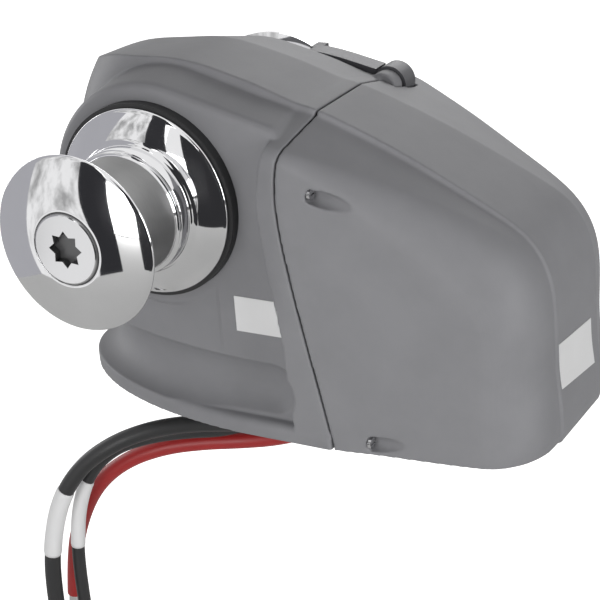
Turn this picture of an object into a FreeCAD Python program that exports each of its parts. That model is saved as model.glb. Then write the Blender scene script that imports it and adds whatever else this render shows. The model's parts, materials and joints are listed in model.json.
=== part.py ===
import FreeCAD, Part
import math
import os

# Horizontal anchor windlass with a warping drum on the near side (-Y) and a
# chain gypsy on the far side (+Y).  Millimetres.  +X points aft, away from the
# anchor, +Y towards the gypsy and +Z up from the deck.  The origin is the
# centre of the four deck bolts on the base plane.

V = FreeCAD.Vector
os.makedirs("parts", exist_ok=True)

# Clearances
RUN_GAP = 0.05          # radial clearance of a shaft in its bore
SEAT_GAP = 0.3          # gap beside a moving face
SEAM_GAP = 1.2          # visible gap between gear housing and motor cover

# Main shaft line, parallel to Y
SHAFT_X = -100.0
SHAFT_Z = 178.0
SHAFT_R = 14.0
SHAFT_END_NEAR = -192.0
SHAFT_END_FAR = 120.5

# Housing body
HALF_WIDTH = 111.0      # base side and motor cover side
NOSE_LENGTH = 213.0     # plan ellipse of the bow end, semi-axis along X
NOSE_CENTRE_X = -13.0
FACE_Y = -97.0          # flat near face that carries the drum
SPINE_Y = -60.0         # near wall of the raised roof
ROOF_FAR_Y = 8.0        # far edge of the flat roof
FAR_WALL_Y = 58.0       # far wall of the gear housing, beside the gypsy
FAR_SLOPE = 0.24        # fall of the far shoulder per millimetre of Y
NEAR_SLOPE = 0.13       # rise of the near shelf per millimetre of Y
ROOF_STEP = 4.0         # height of the roof above the shoulder
HOUSING_WALL = 9.0
BASE_LIP = 13.0         # height of the base flange
BOSS_R = 88.0           # round boss behind the drum
BOSS_EDGE = 7.0         # rounding of the boss and pad edge
PAD_SLOPE = -0.256      # fall of the pad's upper edge per millimetre of X
SCOOP_R = 25.0          # radius of the long scoop over the base flange
SCOOP_Z = 37.0
SCOOP_OUT_Y = 2.0       # how far its centre line lies outside the base flange
SCOOP_WALL = 8.0        # metal left behind it
SCOOP_END_X = -8.0
LIP_EDGE = 6.0
PAD_FORE_X = -50.0      # forward of this the flat face is the boss alone
PAD_AFT_X = 12.0
PAD_CORNER = 10.0       # rounding of the pad's upper aft corner
BOW_CAMBER = 5.5        # extra fall of the roof's far edge at the bow
BOW_SHOULDER = 6.0      # extra fall of the far shoulder at the bow

# Motor cover
COVER_WALL = 4.0
COVER_SIDE_TAPER = 21.0     # how far the side has come in at the back
COVER_FAR_DROP = 15.0       # fall of the back's far shoulder
CREASE_BACK_Y = 39.0        # half width between the creases low on the back
CORNER_R_FRONT = 13.0
CORNER_R_BACK = 50.0
PIVOT_X, PIVOT_Z = 5.0, -40.0   # line about which the cover's sections fan out

# Warping drum
DRUM_RIM_R = 65.7
DRUM_RIM_Y = -193.8
DRUM_HUB_Y = -205.0
DRUM_BARREL_R = 44.0
DRUM_FLANGE_R = 72.0
RING_R = 75.0
RING_FACE_Y = -105.0
CAP_R = 27.0
CAP_SOCKET_R = 14.0

# Gypsy and clutch
GYPSY_R = 74.0
GYPSY_NEAR_Y = 64.0
GYPSY_WIDTH = 38.5
GYPSY_ROOT_R = 50.0
POCKETS = 7
CHAIN_WIRE_R = 4.6
CONE_R = 46.0

# Gear train
WHEEL_R = 53.5
WHEEL_WIDTH = 20.0
WHEEL_Y = -20.0
WORM_R = 14.0
MOTOR_R = 46.0
MOTOR_START_X = 54.0
BEARING_W = 12.0
BEARING_OR = 26.0

# Deck fixing
BOLT_DX = 190.0
BOLT_DY = 130.0
BOLT_HOLE_R = 6.0
BOLT_DEPTH = 20.0
BOLT_BOSS_R = 15.0

# Chain pipe
PIPE_X = -43.0
PIPE_Y = 86.0
PIPE_OR = 23.0
PIPE_IR = 19.0

# Pressure lever
LEVER_X = 22.0
LEVER_Z = 229.0
LEVER_BOSS_R = 14.0
LEVER_NEAR_Y = 60.5
LEVER_WIDTH = 17.0
PIN_R = 5.0

# Leads, each a list of route points chosen by hand
LEAD_BIG_R = 7.0
LEAD_SMALL_R = 5.5
GLAND_X = 56.0
GLAND_EDGE = 6.0
LUG_BARREL = 22.0

# Casting details
BULKHEAD_X = 4.0        # wall between gear room and motor room
BULKHEAD_T = 10.0
SHELF_ROOM_Z = 222.0    # below this the room inside reaches to the flat face
SCOOP_ROOM_Z = 80.0     # below this the walls are thicker, for the scoop
LOW_WALL = 18.0
BODY_AFT_X = 45.0       # the bow's solid ends here, inside the motor room
CASE_WALL = 8.0
CHAMBER_R = 60.0
CHAMBER_HALF = 16.0
WORM_ROOM_R = 19.0
WORM_START_X = -170.0
WORM_Z = 110.0
BELL_BORE_R = 34.0
TRAY_T = 10.0
TRAY_GAP = 2.0
TRAY_ROOM_X0, TRAY_ROOM_X1 = 30.0, 76.0
LEAD_SLOT_Y0, LEAD_SLOT_Y1 = -48.0, 12.0
PLATE_INSET = 5.0
PLATE_T = 3.0
PLATE_FIT = 0.3
PLATE_AFT_X = -14.0
PLATE_SCREW_R = 2.0
PLUG_R = 6.0
PLUG_HEAD_R = 9.0
STRIPPER_HOLES = [(-24, 122), (-40, 122)]
STRIPPER_X = -16.0
LUG_R = 12.0
LUG_W = 13.0

# Screws of the cover
SCREW_R = 2.5
SCREW_HEAD_R = 4.4
SCREW_L = 30.0
SCREW_SEAT = 6.0
SCREW_BOSS = 16.0
TROUGH_R = 6.2          # trough that leads to a screw
HIGH_TROUGH = (40.0, 7.5, -8.0)     # how far it runs aft, outwards and up
LOW_TROUGH = (46.0, 9.0, 3.0)
HIGH_SCREW_X, HIGH_SCREW_Y, HIGH_SCREW_Z = 39.0, 104.0, 199.0
LOW_SCREW_X, LOW_SCREW_Y, LOW_SCREW_Z = 74.0, 102.5, 8.5
LOW_LUG_X = 58.0

# Shaft details
SEAL_W = 7.0
HUB_R = 24.0
HUB_HALF = 12.0
KEY_W = 6.0
KEY_RISE = 3.0
KEY_SINK = 4.0
DRUM_KEY_Y, DRUM_KEY_L = -170.0, 40.0
WHEEL_KEY_Y, WHEEL_KEY_L = -30.0, 20.0
CONE_KEY_Y, CONE_KEY_L = 98.0, 10.0
CLIP_Y, CLIP_T = -7.9, 1.5
THREAD_Y = 109.0
THREAD_R = 12.0
CAP_STUD_R = 8.0
CAP_STUD_L = 24.0
CAP_DEPTH = 8.0
CAP_FIT = 0.1
SOCKET_DEPTH = 6.0
BUSH_R = 18.0
CONE_DEPTH = 8.0
CONE_FALL = 5.0
CONE_GAP = 0.1
NUT_R = 30.0
NUT_W = 18.0
POCKET_L = 34.0
POCKET_W = 17.0

# Worm and motor details
WORM_SHAFT_R = 8.0
WORM_HALF = 38.0
WORM_BEARING_OR = 17.5
WORM_BEARING_W = 10.0
COUPLING_R = 15.0
COUPLING_MID = 36.0
ROTOR_SHAFT_R = 7.0
ROTOR_R = 33.0
MOTOR_WALL = 6.0
MOTOR_END_X = 150.0
MOTOR_BOLT_CIRCLE = 37.0
MOTOR_BOLT_R = 2.5
TERMINAL_X = 100.0
TERMINAL_Y0, TERMINAL_Y1 = -52.0, 12.0

# Lever details
PIN_HEAD = 3.0
SPRING_R = 8.2
SPRING_W = 8.0
LUG_T = 2.5
LUG_HOLE_R = 3.2

# Leads: name, radius, y at the motor, route
LEADS = [
    ("lead_black_main", LEAD_BIG_R, -40, [
        (64, -40, 22), (30, -36, -3), (0, -34, -17), (-30, -32, -27), (-60, -34, -33), (-91, -43, -35),
        (-116, -60, -32), (-142, -77, -34), (-169, -93, -44), (-197, -103, -66), (-218, -109, -98),
        (-231, -111, -140), (-237, -111, -183), (-236, -111, -225)]),
    ("lead_black_control", LEAD_SMALL_R, -2, [
        (64, -2, 22), (30, -1, -3), (0, -2, -16), (-32, -6, -28), (-64, -16, -38), (-98, -33, -48),
        (-123, -51, -45), (-151, -65, -48), (-178, -77, -57), (-201, -85, -79), (-213, -91, -110),
        (-219, -93, -147), (-221, -93, -186), (-220, -93, -224)]),
    ("lead_red", LEAD_BIG_R, -21, [
        (64, -21, 22), (30, -19, -5), (0, -17, -25), (-29, -16, -43), (-59, -17, -55), (-90, -22, -61),
        (-120, -34, -62), (-151, -47, -66), (-183, -58, -79), (-212, -64, -104), (-233, -65, -140),
        (-248, -64, -181), (-255, -62, -225)])]

# Bow of the casting: height, near side's y, where the sides begin to curve, tip
NOSE_SECTIONS = [
    (0, -97, -13, -216), (60, -97, -50, -222), (120, -96.5, -50, -224), (165, -91, -60, -222),
    (205, -78, -100, -214), (235, -66, -136, -204), (256, -60, -138, -194), (285, -60, -120, -172)]

# Side profile of roof and back, (x, z), from the nose to the aft foot
ROOF = [(-188, 263), (-160, 272), (-124, 275.5), (-91, 274), (-48, 265.5), (-20, 258), (11, 248), (30, 243.5)]
BACK = [(41.7, 238.5), (86.5, 216.6), (129, 192), (157, 174.5), (178, 157), (191.4, 134), (196.3, 97),
        (197.5, 50), (197.5, 0)]
SEAM = [(47, -5), (40, 30), (26, 101), (17, 157), (14, 190), (15.5, 212), (24, 244), (31, 262), (40, 282)]
FRAME = [(20, -5), (12, 45), (11, 80), (6.5, 110), (0.5, 150), (-2.5, 180), (-1.5, 200), (6, 230),
         (10, 246), (14, 282)]


# Small helpers

def cyl_y(r, y0, y1, x=SHAFT_X, z=SHAFT_Z):
    return Part.makeCylinder(r, y1 - y0, V(x, y0, z), V(0, 1, 0))


def cyl_x(r, x0, x1, y, z):
    return Part.makeCylinder(r, x1 - x0, V(x0, y, z), V(1, 0, 0))


def cyl_z(r, z0, z1, x, y):
    return Part.makeCylinder(r, z1 - z0, V(x, y, z0), V(0, 0, 1))


def box(x0, x1, y0, y1, z0, z1):
    return Part.makeBox(x1 - x0, y1 - y0, z1 - z0, V(x0, y0, z0))


def spline(points):
    curve = Part.BSplineCurve()
    curve.interpolate(points)
    return curve.toShape()


def ring_y(r_out, r_in, y0, y1, x=SHAFT_X, z=SHAFT_Z):
    return cyl_y(r_out, y0, y1, x, z).cut(cyl_y(r_in, y0 - 1, y1 + 1, x, z))


def turned(points, axis_x=SHAFT_X, axis_z=SHAFT_Z):
    """Solid of revolution about the shaft line from (radius, y) corners."""
    wire = Part.makePolygon([V(axis_x + r, y, axis_z) for r, y in points + points[:1]])
    return Part.Face(wire).revolve(V(axis_x, 0, axis_z), V(0, 1, 0), 360)


def hexagon_x(af, x0, length, y, z):
    r = af / math.sqrt(3)
    turns = [math.radians(60 * i) for i in range(7)]
    pts = [V(x0, y + r * math.cos(t), z + r * math.sin(t)) for t in turns]
    return Part.Face(Part.makePolygon(pts)).extrude(V(length, 0, 0))


def export(name, shape):
    if shape.ShapeType == "Compound" and len(shape.Solids) == 1:
        shape = shape.Solids[0]
    count, volume = len(shape.Solids), shape.Volume / 1000
    print(f"{name:22s} solids {count}  volume {volume:9.2f} cm3  valid {shape.isValid()}")
    shape.exportStep(f"parts/{name}.step")


def plate_blank(inset, thick):
    """Bottom plate's outline, inside the base of the bow."""
    near, far, tip = FACE_Y + inset, FAR_WALL_Y - inset, NOSE_SECTIONS[0][-1] + inset
    return Part.Face(body_section(0.0, near, far, NOSE_CENTRE_X, tip)).extrude(V(0, 0, thick)).common(
        box(-400, PLATE_AFT_X - (inset - PLATE_INSET), -200, 200, -5, 20))


def screw_places():
    upper = [(HIGH_SCREW_X, side * HIGH_SCREW_Y, HIGH_SCREW_Z) for side in (-1, 1)]
    return upper + [(LOW_SCREW_X, side * LOW_SCREW_Y, LOW_SCREW_Z) for side in (-1, 1)]


def plate_screw_places():
    near, far = FACE_Y + 10, FAR_WALL_Y - 10
    return [(-20, near), (-150, FACE_Y + 26), (-198, -20), (-150, 37), (-20, far), (-75, near)]


def motor_bolt_places():
    places = []
    for turn in (35, 145, 215, 325):
        t = math.radians(turn)
        places.append((WHEEL_Y + MOTOR_BOLT_CIRCLE * math.cos(t), WORM_Z + MOTOR_BOLT_CIRCLE * math.sin(t)))
    return places


def bearing(y, width):
    """Ball bearing drawn as one ring with the gap between its races on both faces."""
    race = ring_y(BEARING_OR, SHAFT_R + RUN_GAP, y, y + width)
    middle = (BEARING_OR + SHAFT_R) / 2
    for groove in (y - 1, y + width - 1.5):
        race = race.cut(ring_y(middle + 2.5, middle - 2.5, groove, groove + 2.5))
    return race


def key_box(y, length):
    top = SHAFT_Z + SHAFT_R
    return box(SHAFT_X - KEY_W / 2, SHAFT_X + KEY_W / 2, y, y + length, top - KEY_SINK, top + KEY_RISE)


# Outer form of the motor cover: sections that fan out about one line

def rounded_corner(before, corner, after, radius):
    """Edges from before to after round a corner, and the arc's two ends."""
    u = (before - corner).normalize()
    w = (after - corner).normalize()
    half = u.getAngle(w) / 2
    reach = radius / math.tan(half)
    a, b = corner + u * reach, corner + w * reach
    centre = corner + (u + w).normalize() * (radius / math.sin(half))
    middle = centre + (corner - centre).normalize() * radius
    return a, b, Part.Arc(a, middle, b).toShape()


def mix(front, back, s):
    return front + (back - front) * s


def cowl_section(x, z, s, inset):
    """Closed section in the plane through the pivot line and the point (x, z)."""
    direction = V(x - PIVOT_X, 0, z - PIVOT_Z)
    reach = direction.Length - inset
    direction.normalize()

    def at(r, y):
        return V(PIVOT_X, y, PIVOT_Z) + direction * r

    inner_r = 8.0
    half_low = mix(HALF_WIDTH, HALF_WIDTH + 3.0, s) - inset
    half_high = mix(HALF_WIDTH, HALF_WIDTH - COVER_SIDE_TAPER, s) - inset
    radius = mix(CORNER_R_FRONT, CORNER_R_BACK, s) - min(inset, 3.0)
    near_y = mix(-SPINE_Y, CREASE_BACK_Y, s)
    far_y = mix(ROOF_FAR_Y, CREASE_BACK_Y, s)
    step = mix(ROOF_STEP, 2.0, s)
    near_drop = mix((HALF_WIDTH + SPINE_Y) * 0.286, 1.0, s)
    far_drop = mix((HALF_WIDTH - ROOF_FAR_Y) * FAR_SLOPE, COVER_FAR_DROP, s)
    foot_near, foot_far = at(inner_r, -half_low), at(inner_r, half_low)
    knee_near = at(reach - step - near_drop, -half_high)
    knee_far = at(reach - far_drop, half_high)
    crease = at(reach - step, -near_y)
    edge = at(reach, -near_y)
    ridge = at(reach, far_y)
    a, b, arc1 = rounded_corner(foot_near, knee_near, crease, radius)
    c, d, arc2 = rounded_corner(ridge, knee_far, foot_far, radius)
    line = Part.makeLine
    return Part.Wire([line(foot_near, a), arc1, line(b, crease), line(crease, edge), line(edge, ridge),
                      line(ridge, c), arc2, line(d, foot_far), line(foot_far, foot_near)])


def cowl(inset):
    points = ROOF[-3:] + BACK + [(BACK[-1][0], -40.0)]
    lengths = [0.0]
    for (x0, z0), (x1, z1) in zip(points, points[1:]):
        lengths.append(lengths[-1] + math.hypot(x1 - x0, z1 - z0))
    start, end = lengths[2], lengths[-6]
    wires = []
    for (x, z), run in zip(points, lengths):
        s = min(1.0, max(0.0, (run - start) / (end - start)))
        wires.append(cowl_section(x, z, s, inset))
    return Part.makeLoft(wires, True, False)


def slab(curve_points, side, depth=130.0):
    """Everything forward (side -1) or aft (side +1) of a curve drawn in side view."""
    pts = [V(x, -depth, z) for x, z in curve_points]
    far = side * 420.0
    first, last = pts[0], pts[-1]
    lower, upper = V(far, -depth, first.z), V(far, -depth, last.z)
    wire = Part.Wire([spline(pts), Part.makeLine(last, upper), Part.makeLine(upper, lower),
                      Part.makeLine(lower, first)])
    return Part.Face(wire).extrude(V(0, 2 * depth, 0))


def shifted(points, dx):
    return [(x + dx, z) for x, z in points]


ground = box(-400, 400, -200, 200, 0, 400)
outer_cowl = cowl(0.0).common(ground)


# Gear housing

def body_section(z, near_y, far_y, straight_x, tip_x):
    """Plan outline at height z: straight sides and half an ellipse at the bow."""
    half, middle = (far_y - near_y) / 2, (far_y + near_y) / 2
    reach = straight_x - tip_x
    if reach >= half:
        ellipse = Part.Ellipse(V(straight_x, middle, z), reach, half)
        arc = Part.ArcOfEllipse(ellipse, math.pi / 2, 3 * math.pi / 2)
    else:
        arc = Part.Arc(V(straight_x, far_y, z), V(tip_x, middle, z), V(straight_x, near_y, z))
    a, b = V(straight_x, near_y, z), V(straight_x, far_y, z)
    p, q = V(BODY_AFT_X, near_y, z), V(BODY_AFT_X, far_y, z)
    return Part.Wire([arc.toShape(), Part.makeLine(a, p), Part.makeLine(p, q), Part.makeLine(q, b)])


def nose_body(inset=0.0):
    """Upper body of the gear housing, lofted upwards through its plan outlines."""
    wires = []
    for z, near_y, straight_x, tip_x in NOSE_SECTIONS:
        wires.append(body_section(z, near_y + inset, FAR_WALL_Y - inset, straight_x, tip_x + inset))
    return Part.makeLoft(wires, True, False)


def smooth(t):
    t = min(1.0, max(0.0, t))
    return t * t * (3 - 2 * t)


def roof_line(y, sink, bow_sink, inset):
    """Closed side profile under the roof at one y, lower towards the bow by bow_sink."""
    crown = [(-262, 232)] + ROOF + BACK[:1]
    pts = [V(x, y, z - inset - sink - bow_sink * smooth((-75 - x) / 65)) for x, z in crown]
    low_aft, low_bow = V(pts[-1].x, y, -5), V(pts[0].x, y, -5)
    return Part.Wire([spline(pts), Part.makeLine(pts[-1], low_aft), Part.makeLine(low_aft, low_bow),
                      Part.makeLine(low_bow, pts[0])])


def under_roof(inset=0.0):
    near = roof_line(SPINE_Y - 40, 0.0, 0.0, inset)
    ridge = roof_line(ROOF_FAR_Y, 0.0, BOW_CAMBER, inset)
    fall = (FAR_WALL_Y + 2 - ROOF_FAR_Y) * FAR_SLOPE
    wall = roof_line(FAR_WALL_Y + 2, fall, BOW_CAMBER + BOW_SHOULDER, inset)
    return Part.makeLoft([near, ridge], True, True).fuse(Part.makeLoft([ridge, wall], True, True))


def pad_outline(inset):
    """Side outline of the flat face: round boss, falling upper edge, aft end."""
    r = BOSS_R - inset
    t = math.atan(-PAD_SLOPE)
    tangent = V(SHAFT_X + r * math.sin(t), FACE_Y, SHAFT_Z + r * math.cos(t))
    corner = V(PAD_AFT_X, FACE_Y, tangent.z + PAD_SLOPE * (PAD_AFT_X - tangent.x))
    low_right, low_left = V(PAD_AFT_X, FACE_Y, SCOOP_Z + 12), V(PAD_FORE_X, FACE_Y, SCOOP_Z + 12)
    left = V(SHAFT_X - r, FACE_Y, SHAFT_Z)
    under = V(PAD_FORE_X, FACE_Y, SHAFT_Z - math.sqrt(r ** 2 - (PAD_FORE_X - SHAFT_X) ** 2))
    boss = Part.Arc(under, left, tangent).toShape()
    a, b, turn = rounded_corner(tangent, corner, low_right, PAD_CORNER)
    line = Part.makeLine
    return Part.Wire([boss, line(tangent, a), turn, line(b, low_right), line(low_right, low_left),
                      line(low_left, under)])


def pad_block():
    """Flat near face with the round boss; its top runs back to the roof as a shelf."""
    wires = []
    for turn in (0, 30, 60, 90):
        t = math.radians(turn)
        wire = pad_outline(BOSS_EDGE * (1 - math.sin(t)))
        wire.translate(V(0, BOSS_EDGE * (1 - math.cos(t)), 0))
        wires.append(wire)
    edge = Part.makeLoft(wires, True, True)
    depth = SPINE_Y - FACE_Y + 8.0 - BOSS_EDGE
    last = pad_outline(0.0)
    last.translate(V(0, BOSS_EDGE, 0))
    return edge.fuse(Part.Face(last).extrude(V(0, depth, depth * NEAR_SLOPE)))


def base_plan(inset):
    """Face with the base's plan outline."""
    return Part.Face(body_section(0.0, -HALF_WIDTH + inset, HALF_WIDTH - inset, NOSE_CENTRE_X,
                                  NOSE_CENTRE_X - NOSE_LENGTH + inset))


def base_flange():
    """Base plate with the bow's plan outline and a soft upper edge."""
    flange = base_plan(0.0).extrude(V(0, 0, BASE_LIP))
    top = [e for e in flange.Edges if abs(e.BoundBox.ZMin - BASE_LIP) < 0.01]
    rim = [e for e in top if e.BoundBox.XMin < BODY_AFT_X - 1]
    return flange.makeFillet(LIP_EDGE, rim)


def scoop():
    """Long trough above the base flange, closed by a round end beside the frame strip."""
    reach, across = NOSE_LENGTH + SCOOP_OUT_Y, HALF_WIDTH + SCOOP_OUT_Y
    ellipse = Part.Ellipse(V(NOSE_CENTRE_X, 0, SCOOP_Z), reach, across)
    bow, join = math.radians(178), math.radians(269)
    arc = Part.ArcOfEllipse(ellipse, bow, join).toShape()
    start = ellipse.value(join)
    end = V(SCOOP_END_X, start.y, SCOOP_Z)
    profile = Part.Wire([Part.makeCircle(SCOOP_R, end, V(1, 0, 0))])
    tube = Part.Wire([Part.makeLine(end, start), arc]).makePipeShell([profile], True, False)
    return tube.fuse([Part.makeSphere(SCOOP_R, end), Part.makeSphere(SCOOP_R, ellipse.value(bow))])


def hollow():
    """Room inside the casting, open at the base, on both sides of the bulkhead."""
    cavity = nose_body(HOUSING_WALL).common(under_roof(HOUSING_WALL))
    high = cavity.common(box(-400, BULKHEAD_X, SPINE_Y + HOUSING_WALL, 200, SHELF_ROOM_Z - 5, 400))
    mid = cavity.common(box(-400, BULKHEAD_X, FACE_Y + HOUSING_WALL + 2, 200, SCOOP_ROOM_Z - 5, SHELF_ROOM_Z))
    low = nose_body(LOW_WALL).common(box(-400, BULKHEAD_X, FACE_Y + LOW_WALL, 200, -10, SCOOP_ROOM_Z))
    behind_scoop = base_plan(SCOOP_R + SCOOP_WALL).extrude(V(0, 0, SCOOP_ROOM_Z + 20))
    behind_scoop.translate(V(0, 0, -10))
    return high.fuse([mid, low.common(behind_scoop)])


def gear_case():
    """Solid walls left standing in the hollow: wheel case, worm tube and bearing bosses."""
    half = CHAMBER_HALF + CASE_WALL
    wheel = cyl_y(CHAMBER_R + CASE_WALL, WHEEL_Y - half, WHEEL_Y + half)
    worm = cyl_x(WORM_ROOM_R + CASE_WALL, WORM_START_X - CASE_WALL, BULKHEAD_X + 2, WHEEL_Y, WORM_Z)
    bosses = cyl_y(BEARING_OR + CASE_WALL, FACE_Y + 2, FAR_WALL_Y - 2)
    return wheel.fuse([worm, bosses])


def deck_bosses():
    bosses = [cyl_z(BOLT_BOSS_R, 0, BOLT_DEPTH + 8, -BOLT_DX / 2, side * BOLT_DY / 2) for side in (-1, 1)]
    return bosses[0].fuse(bosses[1])


def tray():
    """Foot of the casting that runs aft under the motor, inside the cover."""
    inside = cowl(COVER_WALL + TRAY_GAP).common(box(-400, 400, -200, 200, 0, TRAY_T))
    plate = inside.common(slab(FRAME, 1))
    room = box(TRAY_ROOM_X0, TRAY_ROOM_X1, TERMINAL_Y0 - GLAND_EDGE, TERMINAL_Y1 + GLAND_EDGE, -5, TRAY_T + 5)
    plate = plate.cut(room)
    for side in (-1, 1):
        notch_y = side * (LOW_SCREW_Y - SCREW_BOSS / 2 - 1)
        near, far = sorted((notch_y, side * 200))
        plate = plate.cut(box(LOW_LUG_X, LOW_LUG_X + 70, near, far, -5, 40))
        plate = plate.fuse(cyl_z(BOLT_BOSS_R, 0, BOLT_DEPTH + 8, BOLT_DX / 2, side * BOLT_DY / 2))
        lug_y = side * (LOW_SCREW_Y - 1)
        lug = box(LOW_LUG_X - 18, LOW_LUG_X - SEAT_GAP, lug_y - 6, lug_y + 6, 0, 16)
        plate = plate.fuse(lug.common(cowl(COVER_WALL + TRAY_GAP)))
    return plate


def motor_bell():
    """Tube that carries the motor on the bulkhead."""
    tube = cyl_x(MOTOR_R, BULKHEAD_X + 2, MOTOR_START_X, WHEEL_Y, WORM_Z)
    return tube.cut(cyl_x(BELL_BORE_R, BULKHEAD_X + BULKHEAD_T, MOTOR_START_X + 1, WHEEL_Y, WORM_Z))


def lever_lug():
    y0 = LEVER_NEAR_Y - SEAT_GAP - LUG_W
    boss = cyl_y(LUG_R, y0, y0 + LUG_W, LEVER_X, LEVER_Z)
    web = box(LEVER_X - 22, LEVER_X, y0, y0 + LUG_W, LEVER_Z - LUG_R, LEVER_Z + LUG_R - 5)
    return boss.fuse(web)


def lever_room(extra):
    """Space that the lever's boss, its spring and the pin's head turn in."""
    y0 = LEVER_NEAR_Y - SEAT_GAP
    y1 = LEVER_NEAR_Y + LEVER_WIDTH + PIN_HEAD + 2
    boss = cyl_y(LEVER_BOSS_R + extra, y0, y1, LEVER_X, LEVER_Z)
    above = box(LEVER_X - 60, LEVER_X + LEVER_BOSS_R + extra, y0, y1, LEVER_Z - 5, LEVER_Z + 60)
    return boss.fuse(above)


aft_limit = slab(shifted(FRAME, 6), -1)
overhang = box(-400, BODY_AFT_X + 1, -200, 200, -10, SCOOP_Z)
overhang = overhang.cut(base_plan(0.0).extrude(V(0, 0, SCOOP_Z + 1)))
upper = nose_body().common(under_roof()).common(ground).cut(overhang)
raised = upper.common(box(-400, 60, SPINE_Y, 200, 0, 400)).common(aft_limit)
low_near = upper.common(box(-400, 60, -200, SPINE_Y, 0, SHAFT_Z + 20)).common(aft_limit)
strip = outer_cowl.common(slab(FRAME, 1)).common(slab(SEAM, -1))
motor_room = cowl(HOUSING_WALL).common(box(BULKHEAD_X + BULKHEAD_T, 400, -200, 200, -10, 400))
body = raised.fuse([low_near, pad_block().common(aft_limit), base_flange(), strip])
body = body.cut(scoop())
body = body.cut(motor_room)
body = body.cut(hollow().cut(gear_case()).cut(deck_bosses()))
body = body.fuse([tray(), motor_bell(), lever_lug()])
body = body.cut(lever_room(1.0))
cuts = [cyl_y(SHAFT_R + 1, FACE_Y - 5, FAR_WALL_Y + 5)]
cuts.append(cyl_y(BEARING_OR, FACE_Y - 1, FACE_Y + SEAL_W + BEARING_W))
cuts.append(cyl_y(BEARING_OR, FAR_WALL_Y - SEAL_W - BEARING_W, FAR_WALL_Y + 1))
cuts.append(cyl_y(CHAMBER_R, WHEEL_Y - CHAMBER_HALF, WHEEL_Y + CHAMBER_HALF))
cuts.append(cyl_x(WORM_ROOM_R, WORM_START_X, BULKHEAD_X - BEARING_W + 4, WHEEL_Y, WORM_Z))
cuts.append(cyl_x(WORM_BEARING_OR, WORM_START_X, BULKHEAD_X + BULKHEAD_T + 1, WHEEL_Y, WORM_Z))
cuts.append(cyl_z(PLUG_R, 0, WORM_Z, SHAFT_X, WHEEL_Y))
for dx in (-BOLT_DX / 2, BOLT_DX / 2):
    for dy in (-BOLT_DY / 2, BOLT_DY / 2):
        cuts.append(cyl_z(BOLT_HOLE_R, -1, BOLT_DEPTH, dx, dy))
cuts.append(plate_blank(PLATE_INSET, PLATE_T).cut(deck_bosses()))
cuts.append(cyl_z(PIPE_OR, -1, BASE_LIP + 5, PIPE_X, PIPE_Y))
cuts.append(box(-12, TRAY_ROOM_X0 + 5, LEAD_SLOT_Y0, LEAD_SLOT_Y1, -5, TRAY_T + 2))
cuts.append(cyl_y(PIN_R, LEVER_NEAR_Y - LUG_W + 1, LEVER_NEAR_Y, LEVER_X, LEVER_Z))
for x, y, z in screw_places():
    cuts.append(cyl_x(SCREW_R, x - SCREW_L, x, y, z))
for x, y in plate_screw_places():
    cuts.append(cyl_z(PLATE_SCREW_R, 0, 9, x, y))
for x, z in STRIPPER_HOLES:
    cuts.append(cyl_y(SCREW_R, FAR_WALL_Y - 8, FAR_WALL_Y + 1, x, z))
for y, z in motor_bolt_places():
    cuts.append(cyl_x(MOTOR_BOLT_R, MOTOR_START_X - 12, MOTOR_START_X + 1, y, z))
body = body.cut(cuts)
export("gear_housing", body)


# Motor cover

cover = outer_cowl.common(slab(shifted(SEAM, SEAM_GAP), 1)).cut(cowl(COVER_WALL))
aft_of_seam = slab(shifted(SEAM, SEAM_GAP), 1)
for x, y, z in screw_places():
    low = z < 50
    start = LOW_LUG_X if low else x - SCREW_SEAT - 12
    pad = box(start, x + 52, y - SCREW_BOSS / 2, y + SCREW_BOSS / 2, max(0.2, z - 9), z + 9)
    cover = cover.fuse(pad.common(outer_cowl).common(aft_of_seam))
for x, y, z in screw_places():
    side = 1 if y > 0 else -1
    run, out, rise = LOW_TROUGH if z < 50 else HIGH_TROUGH
    trough = Part.makeCylinder(TROUGH_R, math.hypot(run, out) + 10, V(x, y, z), V(run, side * out, rise))
    cover = cover.cut(trough)
    cover = cover.cut([cyl_x(SCREW_R, x - SCREW_L, x + 1, y, z), cyl_x(SCREW_HEAD_R + 0.5, x, x + 6, y, z)])
opening = lever_room(1.0).fuse(cyl_y(LUG_R + 1, LEVER_NEAR_Y - LUG_W - 2, LEVER_NEAR_Y, LEVER_X, LEVER_Z))
cover = cover.cut(opening.fuse(box(LEVER_X - 40, LEVER_X + LUG_R + 1, LEVER_NEAR_Y - LUG_W - 2, LEVER_NEAR_Y,
                                   LEVER_Z, LEVER_Z + 60)))
export("motor_cover", cover)


# Screws of the cover, bottom plate and stripper

def screw_x(x, y, z):
    """Round-headed screw driven forwards, head at x."""
    head = cyl_x(SCREW_HEAD_R, x, x + 2.6, y, z)
    slot = box(x + 1.4, x + 4, y - 3, y + 3, z - 0.6, z + 0.6)
    return cyl_x(SCREW_R, x - SCREW_L, x, y, z).fuse(head).cut(slot)


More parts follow.
